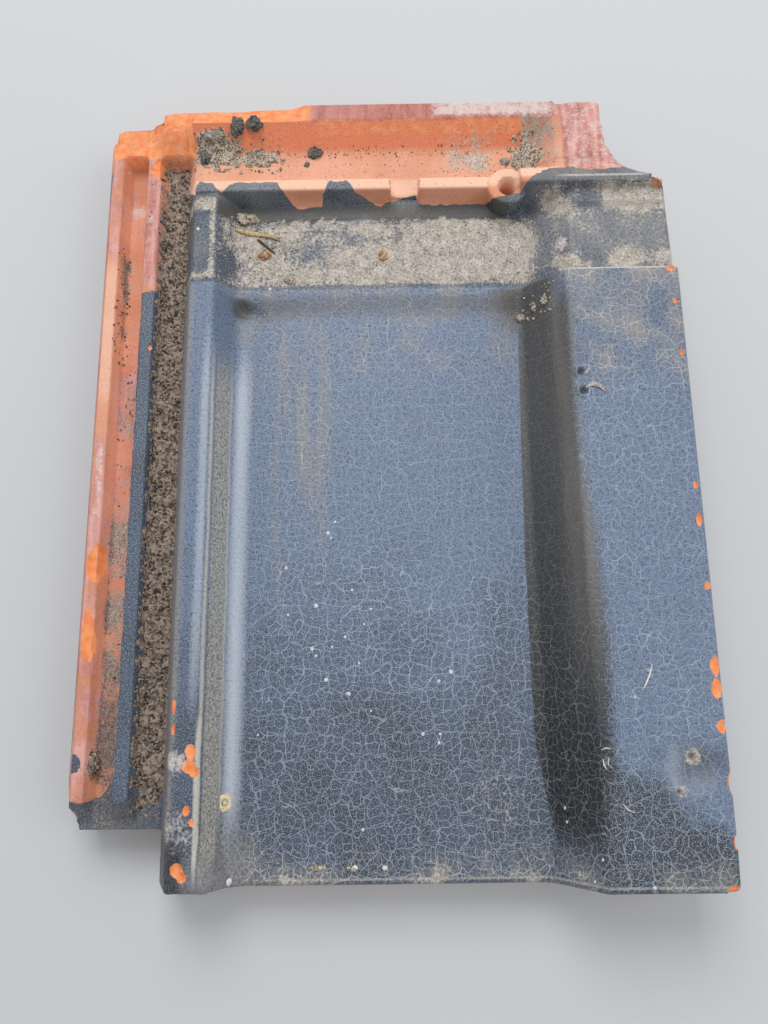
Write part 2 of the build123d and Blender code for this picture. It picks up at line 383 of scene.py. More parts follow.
# %% [markdown]
# The head rim is broken along its left half, where the tile was knocked. Fired clay breaks in
# rounded, grainy lumps. Here the points above a ragged level are pushed down to it, and those past
# a ragged line are pushed back. Only where the flange's end joins the rim does the tile have more
# clay than the solid: there the points rise to the level.

# %% Breaking the head rim
# Along the head, in mm: how high the broken rim ends at the tile's edge.
break_level = [
    (-133, 19), (-129.5, 23), (-126, 25.6), (-109.7, 26.6), (-107.8, 30.5), (-101, 32.6),
    (-94, 33.4), (-64, 33), (-49, 34.6), (-39, 35), (-33, 36)]
break_end, break_fade = -33, 7
flange_edge, flange_front, rim_front = -88.5, 153, 165.5
flange_height, rim_height = 27.6, 36


def rise(values, low, high):
    """From 0 where values are low to 1 where they are high, flat at both ends."""
    share = np.clip((values - low) / (high - low), 0, 1)
    return share * share * (3 - 2 * share)


def lumps(place, size, detail=3):
    """Rounded clods: a value about 0 to 1 that swells and dips every size metres."""
    return 0.5 + 0.5 * noise.fractal(place / size, 0.7, 2.1, detail)


def in_break(place):
    """Whether a place, in metres, lies on the broken stretch of the rim."""
    front = flange_front if place.x < flange_edge * MM else rim_front
    return place.x < (break_end + 2) * MM and place.y > (front - 2) * MM and place.z > 15 * MM


broken, chip, pit = [body.verts.layers.float.new(name) for name in ("broken", "chip", "pit")]
quarter(body, [face for face in body.faces if in_break(face.calc_center_median())])
for point in body.verts:
    if not in_break(point.co) or point.co.x > break_end * MM:
        continue
    here = point.co.copy()
    on_flange = here.x < flange_edge * MM
    front = flange_front if on_flange else rim_front
    share = min(1, (break_end * MM - here.x) / (break_fade * MM))
    run = max(0, (here.y / MM - front) / (tile_high.y / MM - front))
    swollen = 2 * lumps(here, 13 * MM, 1) + 0.4 * lumps(here, 3.5 * MM)
    joined = rise(here.x / MM, -108.5, -98) * rise(here.y / MM, 153, 166)
    rim = flange_height + 8.4 * joined if on_flange else rim_height
    back = float(np.interp(here.x / MM, *zip(*break_level)))
    level = rim + (back - rim) * run ** 1.4 - share * run ** 0.5 * swollen
    line = tile_high.y - share * (0.2 + 1.2 * lumps(here + Vector((0, 0, 1)), 17 * MM, 1)) * MM
    if here.z > level * MM:
        point.co.z = level * MM
        point[broken] = 1
    elif on_flange and here.x > -128 * MM and point.normal.z > steepest:
        point.co.z += (level * MM - here.z) * rise(here.y / MM, front - 1.5, front + 1.5)
        point[broken] = 1
    if here.y > line:
        point.co.y = line
        point[broken] = 1
worn = [point for point in body.verts if point[broken]]
soften(worn, 0.5)
print("points in the break:", len(worn))

# %% [markdown]
# Chips and pits. Wherever a glazed edge was struck, a shallow shell of glaze and clay has come
# away, and the bare clay shows orange. Gas from the clay left a few pits in the glaze. Each is a
# point of the picture, its half-width in millimetres, and how many times as long as wide it is
# along the tile. The mesh is cut finer there, its points sink, and a value is kept on the mesh for
# the material, which draws the sharp outline.

# %% Chips and pits
chips = [
    (696, 484, 1.1, 1.5), (700, 520, 1.3, 2), (708, 585, 1.1, 1.8), (716, 666, 1.9, 2.2),
    (718, 688, 2.3, 2), (723, 727, 2.2, 1.4), (735, 786, 1.5, 2.6), (738, 843, 1.4, 1.8),
    (735, 896, 2.2, 1.2), (671, 267, 1.9, 0.8), (657, 182, 2.6, 1.1), (676, 300, 0.9, 1.4),
    (682, 352, 0.9, 2), (190, 752, 2.2, 1.3), (188, 767, 2.7, 1), (194, 773, 2.2, 0.8),
    (186, 811, 1.5, 1.6), (191, 823, 1.2, 1.2), (176, 870, 2.4, 1.2), (181, 879, 2, 1),
    (174, 706, 0.7, 4), (173, 729, 0.7, 3.2), (88, 634, 3.1, 3.1), (96, 562, 3.5, 2.5),
    (161, 168, 4.8, 1.1), (150, 347, 0.9, 1.3)]
pits = [(581, 371, 1.9), (584, 390, 2.2), (692, 756, 2), (680, 792, 1.4), (567, 815, 1.3)]
chip_depth, pit_depth, pit_swelling = 0.8 * MM, 1 * MM, 0.4 * MM
chip_marks = [(on_tile(u, v)[0], width * MM, length) for u, v, width, length in chips]
pit_marks = [(on_tile(u, v)[0], radius * MM) for u, v, radius in pits]
refine(body, [(place, width * length + 1.5 * MM) for place, width, length in chip_marks], 1)
refine(body, [(place, radius * 2.2) for place, radius in pit_marks], 2)
points = list(body.verts)
points_tree = tree_of([point.co for point in points])
for place, width, length in chip_marks:
    for spot, i, _ in points_tree.find_range(place, width * max(1, length) * 1.8):
        away = math.hypot((spot - place).x, (spot - place).y / length, 0.5 * (spot - place).z)
        ragged = away * (0.65 + 0.7 * lumps(spot, 5 * MM))
        points[i][chip] = max(points[i][chip], 1.5 - ragged / width)
for place, radius in pit_marks:
    for _, i, away in points_tree.find_range(place, 2 * radius):
        points[i][pit] = max(0, 1 - away / radius)
        swelling = math.exp(-((away / radius - 1.15) / 0.4) ** 2)
        points[i].co += points[i].normal * pit_swelling * swelling
for point in points:
    if point.normal.z > steepest:
        sunk = chip_depth * max(0, min(1, (point[chip] - 0.5) * 4))
        sunk += pit_depth * math.sin(math.pi * min(1, 1.3 * point[pit]) / 2)
        point.co -= point.normal * sunk
print("points in chips:", sum(point[chip] > 0.5 for point in points))

# %% [markdown]
# One hollow belongs to the form: below the left shoulder the mould's edge left an almond-shaped dent,
# which is painted darker as shade.

# %% The dent below the shoulder
dent_middle = on_tile(243, 310)[0]
dent_along, dent_across, dent_depth = 12 * MM, 4.4 * MM, 2.2 * MM
dent_turn = Matrix.Rotation(math.radians(14), 3, "Z")
refine(body, [(dent_middle, 12 * MM)], 1)
for point in body.verts:
    offset = dent_turn @ (point.co - dent_middle)
    away = math.hypot(offset.x / dent_along, offset.y / dent_across)
    if away < 1 and point.normal.z > 0.2:
        point.co.z -= dent_depth * (1 - away * away) ** 1.5
print("dent at", [round(v / MM) for v in dent_middle])

# %% [markdown]
# What the weather and the kiln did differs from place to place: glaze stops at a wandering line, dust
# lies where water slows down. Light and shade are painted as well: a painted sheen, a painted
# reflection of the sky, lightens the glaze higher up, painted highlights lie along the fillet and the
# rib, and painted shade darkens creases and the foot of steps. Each of these is a value on the mesh,
# worked out once from where a point is. The material reads them and adds the fine grain.
# A point counts as upper side if nothing of the tile is above it.

# %% Where each finish lies
spots = np.array([point.co[:] for point in body.verts]) / MM
x, y, z = spots.T
finish = {}
step_line, rib_flank, roll_foot = 84, -92, 80


def keep(name, *values):
    """Keep the largest of some values, cut to between 0 and 1, for the material."""
    finish[name] = np.clip(np.maximum.reduce(values), 0, 1)


def cloud(size, seed=0, detail=2, squash=1):
    """Soft noise at every point, with blobs of a size in mm; squash makes them long along Y."""
    offset = Vector((seed * 7.3, seed * 3.1, seed * 5.7))
    return np.array([
        noise.fractal(Vector((a, b / squash, c)) / size + offset, 0.8, 2, detail)
        for a, b, c in spots.tolist()])


def within(values, low, high, edge):
    """1 between low and high, fading over an edge."""
    return rise(values, low - edge, low + edge) * (1 - rise(values, high - edge, high + edge))


def area(across, along):
    """1 in a rectangle. Each side has two ends and an edge that it fades over, in mm."""
    return within(x, *across) * within(y, *along)


def near(u, v, radius):
    """1 at a point of the picture, fading out at a radius in mm."""
    place = np.array(on_tile(u, v)[0]) / MM
    return 1 - rise(np.linalg.norm(spots - place, axis=1), 0.3 * radius, radius)


def along_surface(axis):
    """Length along the tile's upper surface to every point, on a section through the middle."""
    places = np.arange(tile_low[axis] / MM + 0.3, tile_high[axis] / MM, 0.5)
    heights = [above(*((p, 0) if axis == 0 else (0, p)))[0].z / MM for p in places]
    lengths = np.cumsum(np.hypot(np.diff(places), np.clip(np.diff(heights), -1.2, 1.2)))
    return np.interp(spots[:, axis], places, np.concatenate([[0], lengths]))


def cover(a, b, c):
    """How far a point is below the tile's upper surface, just inside its edge. All are in mm."""
    place, _ = above(0.997 * a, 0.997 * b)
    return max(0, place.z / MM - c) if place else 0


below_top = np.array([cover(*spot) for spot in spots.tolist()])
# On a wall the length along the surface stands still, so the height takes its place in the sum.
finish["flat_x"] = (along_surface(0) + 0.8 * below_top) * MM
steep = 0.7 * (z - 19) * (within(y, 119, 144, 1) + rise(y, 146, 150) * (x < -92))
steep = np.where(below_top > 1, 0, steep)
finish["flat_y"] = (along_surface(1) + 0.6 * below_top + steep) * MM
open_sky = below_top < 2.5
wander, ripple, blotch = cloud(13), cloud(4, 1), cloud(26, 2)
streak = cloud(6, 3, 3, 14)
print("points under the sky:", int(open_sky.sum()), "of", len(open_sky))

# %% Glaze
# How far up the bar's front the glaze reaches, in mm along the tile, at places across it.
glaze_reach = [
    (-93, 136), (-87, 134), (-85, 139), (-78, 139), (-74, 133.5), (-70, 138), (-67, 139), (-48, 139),
    (-45, 134), (-41, 127), (-38, 126), (-34, 127), (-27, 127), (-24, 139), (-14, 139), (-11, 133),
    (-6, 130), (-2, 127), (2, 127), (6, 129), (12, 131), (17, 132), (19, 127), (48, 127),
    (52, 127.5), (56, 129.5), (66, 131.5), (70, 138), (80, 143.5), (90, 144), (98, 142),
    (108, 143), (116, 144), (122, 141), (133, 138)]
climb = y + 0.5 * (z - 25.5)
reach = np.interp(x, *zip(*glaze_reach))
on_body = np.minimum(reach + 0.9 * ripple - climb, x + 94)
on_rib = np.minimum.reduce([x + 110.7, 84 + 5 * wander - y, -93.5 - x])
in_channel = np.minimum.reduce([x + 103.5, 88 + 6 * wander - y, -91 - x])
on_end = np.minimum(-131 + 9 * wander - y + 0.45 * (x + 112), -91 - x)
outer_patches = [near(71, 735, 5), near(68, 764, 6), near(112, 182, 7), near(110, 198, 7)]
glazed = np.maximum.reduce([on_body, on_rib, in_channel, on_end, 4 * sum(outer_patches) - 2])
# The roll's outer side and the nose show on a roof, so the glaze runs down them to a wandering line.
outer_side = np.minimum(8 * np.maximum(x - 131.8, -174.3 - y), z - 6 + 3 * wander)
glazed = np.where(open_sky, glazed, np.minimum(on_body, outer_side))
finish["glaze"] = np.clip(glazed, -5, 5)
print("glazed points:", int((glazed > 0).sum()))

# %% Painted sheen on the glaze, its haze and its crazing
# Painted sheen: the glaze is painted lighter and bluer higher up the pan and on most of the roll, as a
# painted reflection of the sky, and darker towards the nose.
lower_pan = -78 + 26 * blotch + 12 * wander
painted_sheen = 0.22 + 0.78 * rise(y - lower_pan, -58, 52)
light_roll = rise(y + 8 * wander + 0.75 * (x - 84), -129, -114)
painted_sheen = np.where(x > roll_foot, 0.02 + (0.98 - 0.3 * rise(y, 0, 70)) * light_roll, painted_sheen)
painted_sheen = np.where(y > step_line, 0.18, painted_sheen)
painted_sheen = np.where(x < -93, 0.36, painted_sheen)
keep("painted_sheen", painted_sheen)
left_streaks = within(x, -62, -20, 12) * rise(y, -90, -20) * (0.36 + 0.55 * streak)
top_haze = 0.5 * rise(y, 5, 70) * within(x, -72, 140, 8) * (0.7 + 1 * wander)
roll_haze = 0.8 * rise(x, 82, 90) * rise(y, 10, 60) * (0.8 + 0.9 * wander)
nose_haze = 0.45 * (1 - rise(y, -172, -150)) * (1 + wander)
corner_haze = 0.7 * (1 - rise(y, -168, -138)) * within(x, -79, -50, 6)
rib_side = 0.8 * within(x, -93, -84, 2) * (1 - rise(y, 78, 86))
haze = np.maximum.reduce([left_streaks, top_haze, roll_haze, nose_haze, corner_haze, rib_side])
haze = np.where(y > step_line, 0.4 + 0.25 * rise(x, 64, 80) + 0.3 * wander, haze)
keep("haze", np.where(x < rib_flank, 0.1, haze) + 0.1 * streak)
craze = 1 - 0.62 * rise(y - lower_pan, -30, 50)
craze = np.where(x > roll_foot, 1 - 0.6 * light_roll + 0.15 * rise(y, -40, 30) + 0.3 * wander, craze)
craze = np.where(y > step_line, 0.5 * craze, craze) * rise(x, -66, -50) + 0.15
keep("craze", np.where((x < -91) | (y > 118), 0, craze))
print("crazed points:", int((finish["craze"] > 0.5).sum()))

# %% Painted highlights and painted shade on the glaze
# Painted highlights: pale blue bands along the left fillet and the rib's right top edge. A pale patch
# lies on the roll as well.
fillet_highlight = area((-67, -60.5, 3), (-152, 48, 18))
rib_highlight = 0.6 * area((-79.5, -75.5, 1.2), (-100, 55, 25))
roll_bloom = 0.4 * near(690, 772, 16)
keep("highlight_and_bloom", 0.9 * fillet_highlight + rib_highlight + roll_bloom + 0.12 * streak)
# The right valley is darkened between these lines, by dirt on its flank and by painted shade.
dark_right = np.interp(y, [-160, -120, -80, -40, 0, 60], [82, 88, 89, 87, 83.5, 83.5])
dark_left = np.interp(y, [-160, -120, -40, 60], [68, 61.5, 61.5, 63.5])
finish["valley_left"] = np.clip(x - dark_left, -9, 9)
finish["valley_right"] = np.clip(dark_right - x, -9, 9)
finish["valley_run"] = within(y, -158, 73, 8)
# Painted shade: the bar's shadow on the lap, over glaze that is dark there too, and darkening in the
# nose's left corner, below the step, at the head of the valley, near the roll's nose, in the dent below
# the shoulder and by the bar's left end.
under_bar = 0.85 * within(y, 119.5 + 2.5 * wander + 2 * ripple, 127.2, 1.6) * within(x, -78, 60, 3)
corner = 0.7 * within(x, -93, -80, 2) * (1 - rise(y, -160, -146))
below_step = 0.4 * area((-60, 60, 8), (70, 81, 3))
below_roll = 0.35 * within(y, -142, -120, 6) * rise(x, 96, 104) * (0.8 + wander)
valley_head = 0.9 * near(528, 296, 26) * (1 - rise(y, 82, 84.5)) * (1 - rise(x, 78, 84))
corners = [0.8 * near(243, 310, 8), 0.5 * near(232, 212, 9)]
keep("shade_and_dirt", under_bar, corner, below_step, valley_head, below_roll, *corners)
# A browner tint for the painted shade and the dirt on the valley's flank, below the step and on the
# lap.
brown = rise(x, 73, 80) * (0.7 + 0.7 * streak) * rise(y, -130, -20)
brown += 0.8 * area((-60, 60, 8), (64, 84, 3))
brown += (y > step_line) * (1 - within(y, 116, 128, 2))
keep("brown", brown)
print("dark points:", int((finish["shade_and_dirt"] > 0.5).sum()))

# %% Dust
lap_floor = within(y, 85.8, 120 + 2.5 * ripple, 1.5) * rise(x, -80, -73) * (1 - rise(x, 66, 80))
lap_floor *= 0.74 + 0.5 * area((-25, 50, 18), (88, 102, 5)) - 0.45 * blotch + 0.35 * wander
lap_left = 0.75 * area((-92, -76, 1.5), (85.8, 128, 2))
lap_left *= 1 - area((-91, -79, 2), (90, 121, 2.5))
lap_roll = within(y, 85.5, 93, 4) * rise(x, 62, 84) * (0.5 + 0.3 * rise(x, 100, 125) + wander)
lap_roll += (0.2 + 0.3 * wander) * rise(x, 66, 84) * within(y, 86, 122, 3)
lap_roll += within(y, 117, 129, 5) * rise(x, 66, 84) * (0.7 + 0.8 * wander)
nose = (1 - rise(y, -174, -158)) * within(x, -66, 100, 8) * (0.2 + 0.5 * wander)
nose += 0.3 * near(500, 800, 22)
trough_right = area((30, 80, 12), (142, 163, 4)) * (0.38 + 0.6 * wander)
trough_end = 0.5 * area((66, 86, 5), (144, 170, 5)) * (1 + wander)
flange_floor = within(x, -121, -111, 1.2) * (0.24 + 0.45 * (1 - rise(y, -80, 60)) + 0.35 * wander)
trail = area((-122.5, -119.8, 0.8), (45, 108, 6)) * (0.32 + 0.8 * wander)
flange_end = (1 - rise(y, -146, -128)) * (1 - rise(x, -94, -92)) * 0.5
flange_head = 0.5 * area((-105, -94, 2), (90, 156, 6))
blisters = np.maximum(0.8 * near(693, 757, 5), 0.55 * near(683, 792, 4.5))
keep("dust", lap_floor, lap_left, lap_roll, nose, trough_right, trough_end, flange_floor, trail,
     flange_end, flange_head, blisters)
keep("grime", rise(-x, 88, 94) + 0.7 * trough_end
     - 0.55 * within(x, -119, -111, 1) * rise(y, -120, -60))
print("dusty points:", int((finish["dust"] > 0.5).sum()))

# %% Bare clay: engobe, warmth, fresh breaks, painted light and shade, lime
bright_clay = np.array([point[broken] for point in body.verts])
lobes = flange_front + 0.3 + 1.6 * cloud(9, 5, 1)
bright_clay = np.where(x < flange_edge, rise(y - lobes, -0.8, 0.8), bright_clay)
# Painted light: the bar's front is painted bright orange, brighter than the lamps leave it.
bar_front_light = 0.42 * area((-48, 60, 1), (122, 130, 0.5))
trough_top = 0.5 * area((-31, 80, 4), (160, 167, 1.5))
keep("bright_clay", bright_clay, bar_front_light, trough_top)
# Painted shade: deeper orange on the rim's inner slope. Painted light: paler clay on tops that face up,
# the bar's top, the flat behind it and the outer rib's top.
slope_shade = area((-92, 70, 3), (156, 166, 1.5))
painted_light = within(y, 130.5, 139, 1) * (x > rib_flank) * (x < 84)
painted_light += 0.25 * within(y, 138, 152, 3) * (x > rib_flank)
painted_light += 0.6 * area((-128, -122.5, 0.8), (30, 98, 8))
rim_right = within(y, 165.5, 176, 0.8) * rise(x, -34, -30)
warm = np.clip(slope_shade - painted_light + 0.7 * rim_right * (x < 84), -1, 1)
finish["warmth"] = np.where(open_sky, warm, 0)
pink_flat = rise(x, 85, 88) * rise(y, 134, 138)
flange_red = 0.9 * (1 - rise(x, -129, -127.6))
flange_red += 0.55 * within(x, -121.5, -110, 1.2) * (1 - 0.6 * rise(y, 40, 70))
flange_red += 0.6 * within(x, -128, -122, 1) * (1 - within(y, 18, 100, 8))
rib_red = 0.75 * within(x, -111.5, -104, 1) * rise(y, 80, 90)
keep("red", rim_right + pink_flat + flange_red + rib_red + 0.25 * wander)
lime = within(x, 26, 84, 6) * rise(y, 166, 168.5) * 0.8
lime += 0.7 * near(140, 213, 6) + 0.6 * near(152, 219, 4)
lime += 0.75 * near(176, 762, 7) + 0.5 * near(176, 830, 12) + 0.6 * near(560, 245, 7)
lime += 0.6 * area((-126.4, -123.4, 0.7), (-24, 10, 4)) + 0.42 * pink_flat
lime += 0.7 * near(650, 672, 2.6) + 0.6 * near(638, 696, 2.2) + 0.35 * near(605, 760, 5)
keep("lime", lime)
print("broken points:", int(bright_clay.sum()))

# %% Finishing the tile's mesh
body.normal_update()
for face in body.faces:
    face.smooth = True
for edge in body.edges:
    edge.smooth = edge.is_manifold and edge.calc_face_angle(0) < math.radians(38)
tile_mesh = bpy.data.meshes.new("tile")
body.to_mesh(tile_mesh)
for name, values in finish.items():
    layer = tile_mesh.attributes.new(name, "FLOAT", "POINT")
    layer.data.foreach_set("value", np.ascontiguousarray(values, dtype=np.float32))
tile = add("tile", tile_mesh)
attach(tile, "root")
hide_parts("roof_tile")
print("tile triangles:", sum(len(face.verts) - 2 for face in body.faces))

# %% [markdown]
# The tile's finish, from the clay outwards. Clay is orange and grainy, redder where engobe covers it,
# brightest where it has just broken, with painted light making the tops that face up paler and the
# bar's front brighter, and painted shade making the rim's inner slope deeper orange. Glaze lies over
# it: near black, crazed into cells of about 4 mm whose cracks have filled with pale dust, and lightened
# higher up by a blue-grey painted sheen, a painted reflection of the sky.
# Dust, soil and lime lie on top of all. Patterns are flat ones, laid on the surface as if it were
# unrolled, because flat noise costs half as much to render as noise in space.

# %% Fired clay
coat = Paint("fired_clay_glazed")
value, mix, node = coat.value, coat.mix, coat.node
flat = node("CombineXYZ", {}, {0: value("flat_x"), 1: value("flat_y")})
grain = coat.noise(0.55, 1, flat)
speck = coat.noise(1.3, 3, flat)
patch = coat.noise(4.5, 3, flat)
drift = coat.noise(26, 2, flat)
sand = node("SeparateColor", {}, {0: coat.cells(0.45, "F1", flat, "Color")})
stretched = node("VectorMath", {"operation": "MULTIPLY"}, {0: flat, 1: (1, 0.12, 1)})
streak = coat.noise(4, 3, stretched)
across, along = (1000 * node("SeparateXYZ", {}, {0: coat.place}, i) for i in (0, 1))
facing = node("NewGeometry", output="True Normal")
upright = node("SeparateXYZ", {}, {0: facing}, 2).rise(-0.6, -0.5)
warmth = value("warmth")
clay = mix(drift.rise(0.35, 0.65), (216, 142, 108), (230, 160, 128))
# Deeper orange where shade is painted and where the engobe is warm, paler where light is painted.
clay = mix(0.9 * warmth.rise(0, 1), clay, (240, 138, 96))
clay = mix(0.85 * warmth.rise(0, -1), clay, (255, 210, 182))
engobe = mix(streak.rise(0.34, 0.66), (182, 112, 102), (226, 164, 154))
engobe = mix(patch.rise(0.4, 0.8) * 0.5, engobe, (226, 182, 176))
engobe = mix(0.7 * warmth.rise(0, 1), engobe, (172, 92, 80))
clay = mix((value("red") + 0.5 * patch + 0.5 * streak - 0.5).rise(0.3, 0.7), clay, engobe)
# Bright orange on fresh breaks and chips, and as painted light on the bar's front.
bright_orange = mix(patch.rise(0.3, 0.7), (244, 134, 76), (250, 168, 114))
bright_clay_here = (value("bright_clay") + 0.3 * patch - 0.15).rise(0.4, 0.6) * upright
clay = mix(bright_clay_here, clay, bright_orange)
clay = mix(sand.rise(0.955, 0.975) * speck.rise(0.42, 0.6) * 0.7, clay, (112, 80, 72))
clay = mix(speck.rise(0.5, 0.9) * 0.3, clay, (244, 206, 186))
print("clay nodes:", len(coat.tree.nodes))

# %% Crazed glaze
painted_sheen = value("painted_sheen")
swirl = coat.noise(11, 2, flat, 1)
bend = node("VectorMath", {"operation": "SCALE"}, {0: swirl, "Scale": 7 * MM})
bent = node("VectorMath", {"operation": "ADD"}, {0: flat, 1: bend})
long_gap = coat.cells(9, "DISTANCE_TO_EDGE", bent, "Distance", 0.8)
short_gap = coat.cells(3.5, "DISTANCE_TO_EDGE", bent, "Distance", 0.75)
long_crack = 1 - long_gap.rise(0.004, 0.021)
short_crack = 1 - short_gap.rise(0.008, 0.046)
# How far the painted reflection of the sky lightens the glaze's colour.
shine = (painted_sheen + 0.5 * drift - 0.25).rise(0.05, 0.95)
glaze = mix(shine, (42, 51, 62), (98, 116, 143))
glaze = mix(grain.rise(0.47, 0.8) * 0.75, glaze, (164, 172, 184))
glaze = mix(speck.rise(0.47, 0.25) * 0.6, glaze, (40, 44, 52))
haze = (1.3 * value("haze") + 1.2 * speck - 0.6).rise(0.3, 1.3)
glaze = mix(haze * 0.85, glaze, (146, 142, 137))
# The cracks are painted lighter where the painted sheen is.
crack_colour = mix(shine, (146, 158, 172), (176, 186, 204))
crack_colour = mix(haze, crack_colour, (206, 202, 196))
craze = value("craze") * long_crack.larger(0.95 * short_crack) * patch.rise(0.15, 0.45)
glaze = mix(craze, glaze, crack_colour)
# The glaze is painted pale blue-grey where the painted highlights lie.
highlight_and_bloom = (value("highlight_and_bloom") + 0.4 * speck - 0.2).rise(0.1, 0.95)
glaze = mix(highlight_and_bloom * 0.9, glaze, (184, 191, 203))
# The valley darkens by dirt and painted shade, the other stretches by painted shade.
valley = value("valley_left").rise(-0.3, 0.5) * value("valley_run")
valley *= (value("valley_right") + 14 * speck - 7).rise(-2.5, 2.5)
shade_and_dirt = (value("shade_and_dirt") + 0.6 * speck - 0.3).rise(0.1, 0.8).larger(valley)
# Colour of the painted shade and dirt: darker towards the nose, browner where brown is kept, with pale
# cracks.
shade_and_dirt_colour = mix(along.rise(-120, 20), (24, 27, 32), (74, 72, 69))
shade_and_dirt_colour = mix(value("brown") * 0.9, shade_and_dirt_colour, (114, 108, 99))
shade_and_dirt_colour = mix(0.45 * craze + 0.25 * grain.rise(0.5, 0.8), shade_and_dirt_colour, (158, 158, 156))
glaze = mix(shade_and_dirt * 0.95, glaze, shade_and_dirt_colour)
print("nodes with the glaze:", len(coat.tree.nodes))

# %% Lines along the rib
# Pale lines along the rib's right edge, and dirt dried on its flank between two pale rims. Pale lines
# also run along the step's lip, where dust lies on a painted highlight, across the roll near the head,
# and along the nose bead, which is a painted highlight.
edge = across + 1 * streak - 0.5
stretch = along.within(-150, 44, 14)
flank_dirt = edge.within(-73.3, -68.6, 0.3) * along.within(-166, 44, 10)
flank_shade = mix((0.6 * speck + 0.4 * sand).rise(0.2, 0.8), (96, 94, 88), (216, 212, 202))
flank_shade = mix(grain.rise(0.5, 0.25) * 0.6, flank_shade, (84, 82, 78))
glaze = mix(flank_dirt * 0.85, glaze, flank_shade)
rims = edge.within(-74.9, -73.9, 0.35) + 0.75 * edge.within(-68.5, -67.8, 0.35)
# lips: the step's lip, dust with a painted highlight; a line across the roll near the head; the nose
# bead, a painted highlight; the rib's edge near the nose.
lips = along.within(82.3, 84.3, 0.3) * across.rise(79, 86)
lips += 0.8 * along.within(130.4, 131.6, 0.3) * across.within(84, 124, 4)
lips += 0.5 * along.within(-172.6, -171.7, 0.25) * across.rise(-60, -40)
lips += edge.within(-75.8, -74.2, 0.4) * along.within(-168, -112, 6)
pale_edges = (rims * stretch + lips) * speck.rise(0.1, 0.45)
glaze = mix(pale_edges * 0.85, glaze, (208, 202, 190))
print("nodes with the rib's lines:", len(coat.tree.nodes))

# %% Chips, dust and lime on top
glaze_edge = (value("glaze") + 1.6 * patch - 0.8 + 0.8 * speck - 0.4).rise(-0.15, 0.15)
chipped = (value("chip") + 0.2 * speck - 0.1).rise(0.48, 0.52)
glazed_here = glaze_edge * (1 - chipped) * upright
skin = mix(glazed_here, clay, glaze)
skin = mix(chipped * upright, skin, bright_orange)
pit = value("pit").rise(0.05, 0.6)
skin = mix(pit, skin, (62, 52, 46))
dust_here = (1.6 * value("dust") + 1.3 * speck - 0.65 + 0.9 * patch - 0.45).rise(0.55, 1.1)
dust_here *= 1 - 0.8 * pit
tone = (0.7 * sand + 0.6 * speck + 0.8 * patch - 0.52).rise(0, 1)
dust_colour = mix(tone, (122, 113, 103), (224, 213, 199))
grime_colour = mix(sand, (62, 58, 54), (156, 146, 136))
dust_colour = mix(value("grime"), dust_colour, grime_colour)
skin = mix(dust_here * 0.9, skin, dust_colour)
lime_here = (value("lime") + 0.8 * patch - 0.4 + 0.9 * speck - 0.45).rise(0.35, 0.85)
skin = mix(lime_here * 0.75, skin, (230, 216, 210))
shiny = glazed_here * (1 - dust_here) * (1 - lime_here)
roughness = 0.86 - 0.46 * shiny + 0.15 * shiny * craze
coat.bump(0.5 * grain + 0.5 * speck, 0.35)
tile_mesh.materials.append(coat.finish(skin, roughness))
print("tile finish has", len(coat.tree.nodes), "nodes")

# %% [markdown]
# Soil. Rain washes grit down the tile's channels, where it settles and packs. Each patch of it is
# a thin crust: a grid dropped onto the tile from above, raised by the soil's depth, cut away where
# the depth runs out, and given a thickness downwards. So it sits on whatever is below it.

# %% A piece from a shape
def finish_piece(name, shape, material, smooth=True):
    """Turn a shape into a piece that rides on the tile and is nowhere higher than it."""
    for face in shape.faces:
        face.smooth = smooth
    for point in shape.verts:
        point.co.z = min(point.co.z, tile_high.z)
    mesh = bpy.data.meshes.new(name)
    shape.to_mesh(mesh)
    shape.free()
    mesh.materials.append(material)
    piece = add(name, mesh)
    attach(piece, "root")
    print(name, "faces:", len(mesh.polygons))


def thicken(sheet, thickness):
    """Turn a sheet's faces upwards and give it a thickness in mm."""
    sheet.normal_update()
    if sum(face.normal.z for face in sheet.faces) < 0:
        bmesh.ops.reverse_faces(sheet, faces=sheet.faces)
    bmesh.ops.solidify(sheet, geom=sheet.faces[:], thickness=thickness * MM)


# %% Soil colours
def earth(name, dark_shade, light_shade, size):
    """Dry soil: dark and light grains of a size in mm, matt and rough."""
    paint = Paint(name)
    grains = paint.node("SeparateColor", {}, {0: paint.cells(size, "F1", None, "Color")})
    mottled = paint.noise(4, 4)
    shade = paint.mix((grains + 1.2 * mottled - 0.6).rise(0.05, 0.95), dark_shade, light_shade)
    paint.bump(grains, 0.4)
    return paint.finish(shade, 0.95)


soil = earth("packed_soil", (52, 43, 38), (172, 153, 137), 0.9)
dark_soil = earth("dark_soil", (48, 47, 47), (128, 124, 118), 0.6)
pale_soil = earth("pale_soil", (92, 80, 68), (214, 198, 178), 0.6)
tan_soil = earth("tan_crumbs", (146, 108, 76), (216, 180, 140), 0.6)
stone = earth("grey_stone", (128, 124, 116), (190, 186, 176), 1.5)
print("soils:", [paint.name for paint in (soil, dark_soil, pale_soil, tan_soil, stone)])


